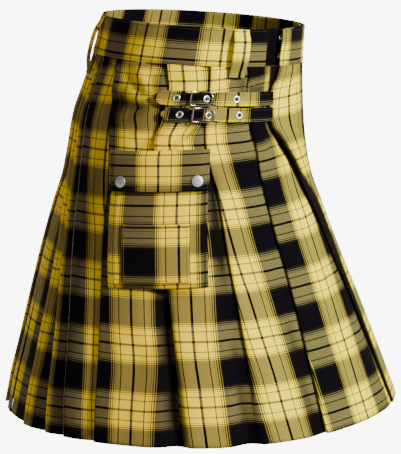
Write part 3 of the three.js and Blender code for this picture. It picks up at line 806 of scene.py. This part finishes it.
def pocket_place(u, v):
    """Angle and drop of a point, from its share of the pocket's width and height."""
    top, foot, back, front = (POCKET[k] for k in ("top", "foot", "back", "front"))
    head = top[0] + (top[1] - top[0]) * u
    low = foot[0] + (foot[1] - foot[0]) * u
    b = back[0] + (back[1] - back[0]) * v
    f = front[0] + (front[1] - front[0]) * v
    return b + (f - b) * u, head + (low - head) * v


def pocket_point(u, v, off):
    return np.array([on(*pocket_place(x, v), o) for x, o in zip(u, np.broadcast_to(off, np.shape(u)))])


def pocket_bulge(u, v):
    return BASE + POCKET_OUT * smooth(np.minimum(u, 1 - u) / 0.07) * smooth((1 - v) / 0.05)


def pocket_piece(name, box, size, lift, phase, mirror, node, flat, dark=None):
    """A piece over a box of the pocket; phase places the check, dark is its shade."""
    u0, u1, v0, v1 = box
    nu, nv = size
    uu = np.linspace(u0, u1, nu + 1)
    rows, us, vs, shade = [], [], [], []
    for v in np.linspace(v0, v1, nv + 1):
        rows.append(pocket_point(uu, v, lift(uu, v)))
        shade.append(dark(uu, v) if dark else 0 * uu)
        us.append((phase[0] + uu * POCKET_WIDE) / WARP)
        vs.append(np.full(nu + 1, (phase[1] - v * POCKET_TALL) / WEFT))
    if mirror:
        rows = mirror_rows(rows)
    obj = cloth(name, rows, even(us), np.array(vs), CHECK, shade=shade)
    hang(obj, node, flat)


def flap_lift(u, v):
    rise = (POCKET_OUT + CLOTH_T + 0.85) * smooth((v + 0.03) / 0.075)
    side = 0.35 + 0.65 * smooth(np.minimum(u + 0.02, 1.015 - u) / 0.09)
    return BASE + rise * side + 0.9 * smooth((v - 0.2) / 0.08) + 1.3 * (1 - smooth((v + 0.03) / 0.1))


def patch_lift(u, v):
    return BASE + POCKET_OUT + CLOTH_T + 0.45 + 0.25 * np.sin(u * 9) * math.sin(v * 12)


def body_dark(u, v):
    """Shade under the flap, inside the front rim, beside the patch and at the foot."""
    under_flap = 0.75 * (1 - smooth((v - 0.295) / 0.03))
    rim = 0.7 * smooth((u - 0.93) / 0.04) * (1 - smooth((u - 0.975) / 0.015))
    beside = 0.55 * np.exp(-(((u - 0.168) / 0.012) ** 2)) * smooth((v - 0.52) / 0.02)
    return np.clip(under_flap + rim + beside + 0.5 * smooth((v - 0.975) / 0.02), 0, 1)


def foot_dark(u, v):
    """Shade at the patch's foot."""
    return 0.6 * smooth((v - 0.945) / 0.01) + 0 * u


for side, mirror in SIDES:
    pocket_piece(f"pocket {side}", BODY_BOX, (72, 80), pocket_bulge, (-49.5, 25), mirror,
                 f"pocket_body_{side}", (0.155, 0.185), body_dark)
    pocket_piece(f"pocket patch {side}", PATCH_BOX, (40, 32), patch_lift, (-53, 53), mirror,
                 f"pocket_patch_{side}", (0.097, 0.076), foot_dark)
    pocket_piece(f"pocket flap {side}", FLAP_BOX, (72, 30), flap_lift, (-22.5, 61.5), mirror,
                 f"pocket_flap_{side}", (0.158, 0.062))


# Metal
def turned(spot, prof, seg, ring, name, material):
    """A turned piece: profile of radius and height, closed as a ring or at its ends."""
    n = len(prof)
    verts, faces = [], []
    for k in range(seg):
        w = 2 * math.pi * k / seg
        verts += [spot.at(r * math.cos(w), r * math.sin(w), h) for r, h in prof]
        k2 = (k + 1) % seg
        for i in range(n if ring else n - 1):
            i2 = (i + 1) % n
            faces.append((k * n + i, k2 * n + i, k2 * n + i2, k * n + i2))
    if not ring:
        faces.append([k * n for k in range(seg)][::-1])
        faces.append([k * n + n - 1 for k in range(seg)])
    obj = new_object(name, verts, faces, material)
    outward(obj)
    return obj


def outward(obj):
    """Turns all faces to look outwards."""
    bm = bmesh.new()
    bm.from_mesh(obj.data)
    bmesh.ops.recalc_face_normals(bm, faces=bm.faces)
    bm.to_mesh(obj.data)
    bm.free()


def wire(name, runs, radius, material, seg):
    """Round wire through each run of points; a run is (points, closed)."""
    name = name.replace(" ", "_")
    curve = bpy.data.curves.new(name, "CURVE")
    curve.dimensions = "3D"
    curve.bevel_depth = radius * 0.001
    curve.bevel_resolution = seg // 4
    curve.use_fill_caps = True
    for pts, closed in runs:
        s = curve.splines.new("POLY")
        s.points.add(len(pts) - 1)
        for p, q in zip(s.points, pts):
            p.co = (*(np.asarray(q) * 0.001), 1)
        s.use_cyclic_u = closed
    obj = bpy.data.objects.new(name, curve)
    bpy.context.scene.collection.objects.link(obj)
    bpy.context.view_layer.update()
    mesh = bpy.data.meshes.new_from_object(obj.evaluated_get(bpy.context.evaluated_depsgraph_get()))
    bpy.data.objects.remove(obj)
    made = bpy.data.objects.new(name, mesh)
    mesh.materials.clear()
    mesh.materials.append(material)
    mesh.polygons.foreach_set("use_smooth", [True] * len(mesh.polygons))
    bpy.context.scene.collection.objects.link(made)
    outward(made)
    return made


def joined(a, b):
    """One object with the faces of both."""
    bm = bmesh.new()
    bm.from_mesh(a.data)
    bm.from_mesh(b.data)
    bm.to_mesh(a.data)
    bm.free()
    bpy.data.objects.remove(b)
    return a


def rounded(pts, steps=5, closed=True):
    """A smooth run through the points."""
    p = np.asarray(pts, float)
    out = []
    n = len(p)
    last = n if closed else n - 1
    for i in range(last):
        a = p[(i - 1) % n] if closed or i > 0 else p[i]
        b, c = p[i], p[(i + 1) % n]
        d = p[(i + 2) % n] if closed or i < n - 2 else p[i + 1]
        for k in range(steps):
            t = k / steps
            out.append(0.5 * (2 * b + (c - a) * t + (2 * a - 5 * b + 4 * c - d) * t * t
                              + (3 * b - a - 3 * c + d) * t**3))
    if not closed:
        out.append(p[-1])
    return out


# Straps and buckles
LOW = CLOTH_T / 2 + SEWN + STRAP_T / 2 + 0.28
HIGH = LOW + STRAP_T / 2 + SEWN + WIRE + 1.0
MID = CLOTH_T / 2 + SEWN + TAB_T + 0.5 + WIRE + 0.35
REAR = HIGH + 1.3
# half of the buckle's wire: run along the strap, place across it, height
HALF_WIRE = [
    (-13, 8.9, REAR), (-11.6, 9.6, REAR), (-6, 9.6, MID + 1.2), (0, 9.6, MID), (6, 9.6, MID + 0.8),
    (11, 9.2, HIGH), (14.8, 6.2, HIGH),
]
FRAME_WIRE = [(-13, -8.9, REAR), (-13, 0, REAR)] + HALF_WIRE + [(16.6, 0, HIGH)]
FRAME_WIRE += [(x, -y, z) for x, y, z in HALF_WIRE[:0:-1]]
# an eyelet's section: radius, height; its first point sits in the strap
RING_FOOT = (2.55, 0.2)
RING_PROFILE = [(5.2, 1.25), (5.15, 1.7), (4.7, 2.2), (4.0, 2.4), (3.3, 2.25), (2.75, 1.7)]
# a black disc in each eyelet, painted shade for the shadowed hole: radius, height
HOLE_SHADE_PROFILE = [(2.5, 1.15), (2.4, 1.25)]


def strap_lift(d):
    """How high the strap lies, by its distance from the buckle's bar, over which it rises."""
    base = LOW + 1.25 * smooth((8 - d) / 12)
    return base + (7.0 - base) * smooth(1 - np.abs(d - 1) / 12.5)


def strap(st, side, mirror):
    """One strap from its pointed tip to its root; its points are given back for the sewing."""
    length = (st["tip"] - st["root"]) * st["u"]
    rows, us, vs = [], [], []
    across = np.linspace(-1, 1, 13)
    for x in np.linspace(0, length, 150):
        phi = st["tip"] - x / st["u"]
        d = (st["buckle"] - phi) * st["u"]
        off = float(strap_lift(d))
        pinch = 1.65 * float(smooth((26 - abs(d)) / 10))
        half = (STRAP_WIDE / 2 - pinch) * min(1.0, 0.22 + 0.78 * x / 11)
        crown = 0.35 * (1 - across**2) - 0.15
        sway = 0.5 * math.sin(x / 19.0)
        rows.append(np.array([
            on(phi, st["drop"] + k * half - LEAN * off + sway, off + c) for k, c in zip(across, crown)]))
        us.append(np.full(13, (st["phase"] + x) / WARP))
        vs.append((st["row"] - across * half) / WEFT)
    rows = np.array(mirror_rows(rows) if mirror else rows)
    obj = cloth(f"{st['tag']} strap {side}", rows, even(us), np.array(vs), CHECK, STRAP_T)
    hang(obj, f"strap_{st['tag']}_{side}", (round(length * 0.001, 3), 0.0185))
    return rows


def eyelets(st, side, mirror):
    for i, h in enumerate(st["holes"]):
        d = (st["buckle"] - h) * st["u"]
        raised = 0.75 if i == 1 else 0.0
        slope = float(strap_lift(d + 4) - strap_lift(d - 4)) / 8
        off = float(strap_lift(d))
        spot = Spot(h, st["drop"] - LEAN * off, off, slope, mirror)
        name = f"{st['tag']} {i + 1} {side}"
        ring = [RING_FOOT] + [(r, z + raised) for r, z in RING_PROFILE]
        settle(turned(spot, ring, 32, True, f"eyelet {name}", RING), "buckle_metal",
               "eyelet_" + name.replace(" ", "_"))
        # a black disc in the eyelet stands in for the hole's shade: painted shade
        hole_shade = [(r, z + raised) for r, z in HOLE_SHADE_PROFILE]
        settle(turned(spot, hole_shade, 24, False, f"eyelet hole {name}", BLACK_THREAD_AND_HOLE_SHADE), "buckle_metal")


def buckle(st, side, mirror):
    """Frame, sleeve and middle bar in one piece, the tab that holds it, and its prong."""
    name = f"{st['tag']} {side}"
    node = f"{st['tag']}_{side}"
    f = Spot(st["buckle"], st["drop"], mirror=mirror)
    bar = [f.at(0, y, MID) for y in np.linspace(-9.4, 9.4, 8)]
    frame_wire = wire(f"buckle {name}", [(rounded([f.at(*q) for q in FRAME_WIRE]), True), (bar, False)],
                      WIRE, PLATED, 16)
    sleeve = [f.at(-13, y, REAR) for y in (-7.9, -7.6, 7.6, 7.9)]
    settle(joined(frame_wire, wire("sleeve", [(sleeve, False)], ROLLER, PLATED, 20)), "buckle_metal",
           f"buckle_{node}")

    across = np.linspace(-7.2, 7.2, 9)
    rows, us, vs = [], [], []
    for x in np.linspace(-22, 0.6, 20):
        phi = st["buckle"] - x / st["u"]
        rows.append(np.array([on(phi, st["drop"] + y, CLOTH_T / 2 + 0.83) for y in across]))
        us.append(np.full(9, (40 + x) / WARP))
        vs.append((40 + across) / WEFT)
    if mirror:
        rows = mirror_rows(rows)
    tab = cloth(f"buckle tab {name}", rows, even(us), np.array(vs), CHECK, TAB_T)
    hang(tab, f"buckle_tab_{node}", (0.023, 0.0144))

    d = (st["buckle"] - st["holes"][1]) * st["u"]
    z = float(strap_lift(d))
    prong = [(d - 1.6, 0, z - 2.2), (d - 0.2, 0, z + 0.4), (d + 2.4, 0, z + 3.0), (d + 5, 0, z + 3.3),
             (18.4, 0, HIGH + WIRE + 1.35)]
    settle(wire(f"prong {name}", [(rounded([f.at(*q) for q in prong], 4, False), False)], PRONG, PLATED, 12),
           "buckle_metal", f"prong_{node}")


STRAP_ROWS = []
for side, mirror in SIDES:
    for st in STRAPS:
        # length of cloth to a degree
        st["u"] = per_degree(st["buckle"], st["drop"])
        STRAP_ROWS.append(strap(st, side, mirror))
        eyelets(st, side, mirror)
        buckle(st, side, mirror)

# Snap caps on the flaps, and studs of the band's fastening: radius, height
CAP = [
    (7.4, 0), (7.85, 0.25), (8.0, 0.75), (7.8, 1.2), (7.1, 1.55), (6.7, 1.5), (6.2, 1.75), (4.6, 2.05),
    (2.4, 2.2), (0.4, 2.25),
]
STUD = [(5.3, 0), (5.45, 0.3), (5.3, 0.75), (3.4, 0.95), (3.2, 1.3), (3.2, 2.9), (2.9, 3.2), (0.5, 3.3)]
for side, mirror in SIDES:
    for share, where, sunk in ((0.143, "back", 0.9), (0.895, "front", 1.2)):
        high = BASE + POCKET_OUT + CLOTH_T * 2 + 1.75 - sunk
        spot = Spot(*pocket_place(share, 0.215), high, mirror=mirror)
        settle(turned(spot, CAP, 40, False, f"pocket snap {where} {side}", PEWTER), "snap_metal",
               f"pocket_snap_{where}_{side}")
for s, where in ((13, "upper"), (38, "lower")):
    spot = Spot(50.4, s, UNDER - 2 + BAND_T / 2 + 0.85)
    settle(turned(spot, STUD, 36, False, f"waist stud {where}", PLATED), "snap_metal",
           f"waist_snap_{where}")


# Sewing
def thread_tree():
    """Short threads laid end to end along the edges of a mesh."""
    tree = bpy.data.node_groups.new("running stitch", "GeometryNodeTree")
    face = tree.interface
    face.new_socket("Line", in_out="INPUT", socket_type="NodeSocketGeometry")
    for label, value in (("Pitch", 0.0034), ("Stitch", 0.0025), ("Thread", 0.00034)):
        face.new_socket(label, in_out="INPUT", socket_type="NodeSocketFloat").default_value = value
    face.new_socket("Colour", in_out="INPUT", socket_type="NodeSocketMaterial")
    face.new_socket("Sewn", in_out="OUTPUT", socket_type="NodeSocketGeometry")
    net = Net(tree)
    start = net.node("NodeGroupInput").outputs
    line = net.make("GeometryNodeMeshToCurve", {0: start["Line"]})
    points = net.make("GeometryNodeResampleCurve", {"Curve": line.outputs[0], "Length": start["Pitch"]},
                      mode="LENGTH")
    bar = net.make("GeometryNodeMeshCylinder",
                   {"Vertices": 6, "Radius": start["Thread"], "Depth": start["Stitch"]})
    tangent = net.node("GeometryNodeInputTangent")
    turn = net.make("FunctionNodeAlignRotationToVector", {"Vector": tangent.outputs[0]}, axis="Z")
    vary = net.make("FunctionNodeRandomValue", {"Seed": 7}, data_type="FLOAT")
    least, most = [s for s in vary.inputs if s.type == "VALUE"][:2]
    net.put(least, 0.86)
    net.put(most, 1.1)
    lay = net.make("GeometryNodeInstanceOnPoints", {
        "Points": points.outputs[0], "Instance": bar.outputs["Mesh"], "Rotation": turn.outputs[0],
        "Scale": next(s for s in vary.outputs if s.type == "VALUE")})
    real = net.make("GeometryNodeRealizeInstances", {0: lay.outputs[0]})
    colour = net.make("GeometryNodeSetMaterial", {"Geometry": real.outputs[0], "Material": start["Colour"]})
    net.make("NodeGroupOutput", {0: colour.outputs[0]})
    return tree


STITCH = thread_tree()


def sew(name, runs, material, pitch=3.4, stitch=2.5, thread=0.34):
    """Stitches along runs of points: distance from one to the next, length and radius of each, in mm."""
    verts, edges = [], []
    for run in runs:
        base = len(verts)
        verts += [tuple(np.asarray(p) * 0.001) for p in run]
        edges += [(base + k, base + k + 1) for k in range(len(run) - 1)]
    mesh = bpy.data.meshes.new(name)
    mesh.from_pydata(verts, edges, [])
    obj = bpy.data.objects.new(name, mesh)
    bpy.context.scene.collection.objects.link(obj)
    mod = obj.modifiers.new("sewing", "NODES")
    mod.node_group = STITCH
    values = {"Pitch": pitch * 0.001, "Stitch": stitch * 0.001, "Thread": thread * 0.001, "Colour": material}
    for item in STITCH.interface.items_tree:
        if item.in_out == "INPUT" and item.name in values:
            mod[item.identifier] = values[item.name]
    bpy.context.view_layer.update()
    settle(finished(obj), "kilt_cloth")


def both(runs):
    return runs + mirror_rows(runs)


def pocket_run(us, vs, lift):
    out = [lift(np.array([u]), v) + CLOTH_T / 2 + 0.12 for u, v in zip(us, vs)]
    return np.array([pocket_point(np.array([u]), v, off)[0] for u, v, off in zip(us, vs, out)])


def box_run(u0, u1, v0, v1, lift, parts="sides top foot"):
    """Runs round a box of the pocket: its two sides, its top and its foot."""
    n = 40
    runs = []
    if "sides" in parts:
        runs += [pocket_run(np.full(n, u), np.linspace(v0, v1, n), lift) for u in (u0, u1)]
    if "top" in parts:
        runs.append(pocket_run(np.linspace(u0, u1, n), np.full(n, v0), lift))
    if "foot" in parts:
        runs.append(pocket_run(np.linspace(u0, u1, n), np.full(n, v1), lift))
    return runs


runs = box_run(0.1, 0.9, 0.3, 0.93, pocket_bulge, "sides foot")
runs += box_run(0.2, 0.802, 0.548, 0.937, patch_lift)
runs += box_run(0.2, 0.802, 0.575, 0.575, patch_lift, "top")
runs += box_run(0.0, 0.995, 0.02, 0.268, flap_lift)
runs += box_run(0.03, 0.965, 0.05, 0.244, flap_lift, "sides foot")
sew("pocket_sewing", both(runs), BLACK_THREAD_AND_HOLE_SHADE)

# along both edges of the band, and down the end of the apron's band
OVER = BAND_T / 2 + 0.12
round_band = np.linspace(BAND_FROM, 302, 400)
round_end = np.linspace(-56, 51.5, 200)
runs = []
for s in (3.0, BAND_H - 3.2):
    runs.append(on(round_band, s, band_offset(round_band, s) + OVER))
    runs.append(on(round_end, s, end_offset(round_end, s) + OVER))
runs.append(np.array([on(51.0, s, end_offset(51.0, s) + OVER) for s in np.linspace(3, BAND_H - 3, 30)]))
sew("band_sewing", runs, BLACK_THREAD_AND_HOLE_SHADE)

runs = []
for rows in STRAP_ROWS:
    normal = np.cross(rows[2:, 6] - rows[:-2, 6], rows[1:-1, 12] - rows[1:-1, 0])
    normal /= np.linalg.norm(normal, axis=1)[:, None]
    normal *= np.sign((normal[:, :2] * rows[1:-1, 6, :2]).sum(1))[:, None]
    for col in (2, 10):
        runs.append(rows[6:-1, col] + normal[5:] * (STRAP_T / 2 + 0.1))
sew("strap_sewing", runs, BLACK_THREAD_AND_HOLE_SHADE, 3.0, 2.2, 0.3)

runs = []
for mirror, edge in EDGES.items():
    line = [on(phi, s, off + CLOTH_T / 2 + 0.15) for s, (phi, off) in zip(S_ROWS, edge)]
    runs.append(np.array(line) * (MIRROR if mirror else 1))
sew("pleat_sewing", runs, LIGHT_THREAD, 3.1, 2.9, 0.5)


# Camera, light and floor
def aim(obj, target):
    d = Vector(target) - obj.location
    obj.rotation_mode = "QUATERNION"
    obj.rotation_quaternion = d.to_track_quat("-Z", "Y")


# place of the camera in metres, round the kilt and up; the point it looks at; its lens
CAMERA_AZIMUTH = math.radians(258)
CAMERA_AWAY = 4.669
CAMERA_UP = 0.42575
LOOKS_AT = (0, 0, -0.27025)
camera = bpy.data.objects.new("camera", bpy.data.cameras.new("camera"))
bpy.context.scene.collection.objects.link(camera)
camera.location = (CAMERA_AWAY * math.sin(CAMERA_AZIMUTH), -CAMERA_AWAY * math.cos(CAMERA_AZIMUTH), CAMERA_UP)
aim(camera, LOOKS_AT)
camera.data.lens = 263.6
camera.data.sensor_width = 36
camera.data.clip_end = 400
bpy.context.scene.camera = camera


def light(name, place, size, power, colour=(1, 1, 1)):
    """A square light: place and size in metres, power in watts."""
    lamp = bpy.data.lights.new(name, "AREA")
    lamp.size = size
    lamp.energy = power
    lamp.color = colour
    obj = bpy.data.objects.new(name, lamp)
    bpy.context.scene.collection.objects.link(obj)
    obj.location = place
    aim(obj, (0, 0, -0.25))


light("key", (-2.9, -2.1, 1.7), 0.55, 370, (1, 0.98, 0.84))
light("fill", (-3.2, 1.8, 0.9), 2.0, 7.0, (1, 0.48, 0.26))
light("back light", (2.5, 1.5, 2.2), 1.8, 20)

# a wide pale floor that glows from 14 to 23 m out, most where the photo's camera looks along it
WIDE = 150
DEEP = -6.0
floor = bpy.data.meshes.new("floor")
corners = [(-WIDE, -WIDE, DEEP), (WIDE, -WIDE, DEEP), (WIDE, WIDE, DEEP), (-WIDE, WIDE, DEEP)]
floor.from_pydata(corners, [], [(0, 1, 2, 3)])
material, net, bsdf = new_material("pale floor, brighter far out")
here = net.here()
reach = net.make("ShaderNodeVectorMath", {0: here}, operation="LENGTH").outputs["Value"]
away = net.make("ShaderNodeVectorMath", {0: here}, operation="NORMALIZE").outputs[0]
along = net.make("ShaderNodeVectorMath", {0: away, 1: (0.978, -0.208, 0)}, operation="DOT_PRODUCT")
glow = net.math("MULTIPLY_ADD", net.ramp(along.outputs["Value"], 0.82, 0.95), 7.5, 0.75)
net.fill(bsdf, {
    "Base Color": (0.9, 0.9, 0.9, 1), "Roughness": 0.9, "Specular IOR Level": 0.1,
    "Emission Color": (1, 1, 1, 1),
    "Emission Strength": net.math("MULTIPLY_ADD", net.ramp(reach, 14.0, 23.0), glow, 0.25),
})
floor.materials.append(material)
floor_obj = bpy.data.objects.new("floor", floor)
bpy.context.scene.collection.objects.link(floor_obj)
world = bpy.data.worlds.new("studio")
bpy.context.scene.world = world
world.use_nodes = True
world.node_tree.nodes["Background"].inputs[0].default_value = (1, 1, 1, 1)
world.node_tree.nodes["Background"].inputs[1].default_value = 0.13
